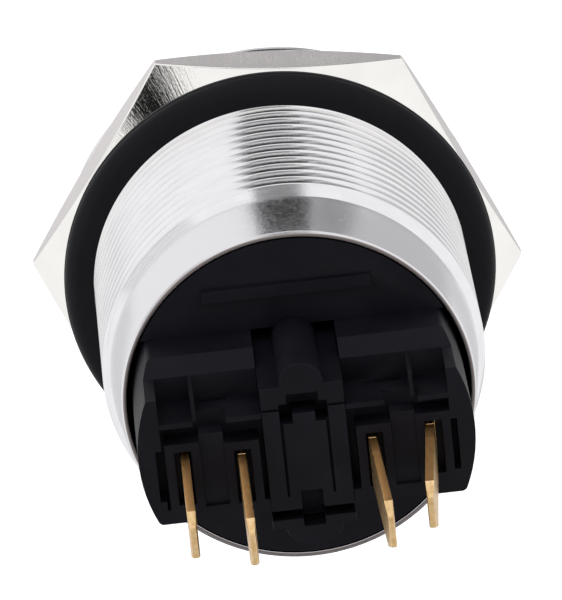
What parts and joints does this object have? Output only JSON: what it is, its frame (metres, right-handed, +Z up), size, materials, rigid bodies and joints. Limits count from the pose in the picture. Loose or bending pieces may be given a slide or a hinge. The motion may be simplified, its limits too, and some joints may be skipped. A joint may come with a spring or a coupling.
{
  "type": "anti vandal push button",
  "caption": "Panel-mounting metal push button with a threaded barrel, hex nut, rubber ring, sprung flat cap and blade terminals on a black contact block.",
  "frame": {"origin": "centre of the head's rear face, the face that seats on the panel", "axes": "+Y along the barrel from the head back to the terminals, the cap faces -Y, +Z up"},
  "size_m": [0.0288, 0.0414, 0.0264],
  "materials": {
    "barrel_steel": "turned and threaded stainless steel, bright",
    "nut_metal": "faced and chamfered metal with fine turning marks",
    "cap_steel": "fine brushed",
    "black_rubber": "smooth moulded rubber with a soft sheen",
    "black_plastic": "moulded black plastic, matte",
    "stem_plastic": "natural moulded plastic",
    "gold_plate": "gold plated, satin",
    "contact_silver": "bright silver alloy",
    "strip_copper": "rolled copper alloy strip",
    "spring_steel": "drawn spring wire"
  },
  "bodies": {
    "housing": {"housing_body": "barrel_steel", "contact_base": "black_plastic", "terminal_block_left": "black_plastic", "terminal_block_right": "black_plastic", "centre_bridge": "black_plastic", "terminal_1": "gold_plate", "terminal_2": "gold_plate", "terminal_3": "gold_plate", "terminal_4": "gold_plate", "fixed_contacts": "contact_silver", "return_spring": "spring_steel"},
    "button": {"button_cap": "cap_steel", "cap_seal": "black_rubber", "plunger": "stem_plastic", "retaining_clip": "spring_steel", "contact_carrier": "stem_plastic", "bridge_contact_left": "strip_copper", "bridge_contact_right": "strip_copper", "moving_contacts": "contact_silver", "contact_spring_left": "spring_steel", "contact_spring_right": "spring_steel"},
    "ring": {"seal_ring": "black_rubber"},
    "nut": {"hex_nut": "nut_metal"}
  },
  "joints": [
    {"name": "button_slide", "type": "slide", "parent": "housing", "child": "button", "axis": [0, 1, 0], "range_m": [0, 0.0025], "stiffness_N_per_m": 800, "springref_m": -0.004, "deforming": ["return_spring"]},
    {"name": "ring_travel", "type": "slide", "parent": "housing", "child": "ring", "axis": [0, 1, 0], "range_m": [0, 0.012]},
    {"name": "nut_turn", "type": "hinge", "parent": "ring", "child": "nut", "pos_m": [0, 0.00165, 0], "axis": [0, 1, 0], "range_deg": [0, 4320]}
  ],
  "couplings": [
    {"joint": "ring_travel", "follows": "nut_turn", "m_per_rad": 0.00015915}
  ]
}
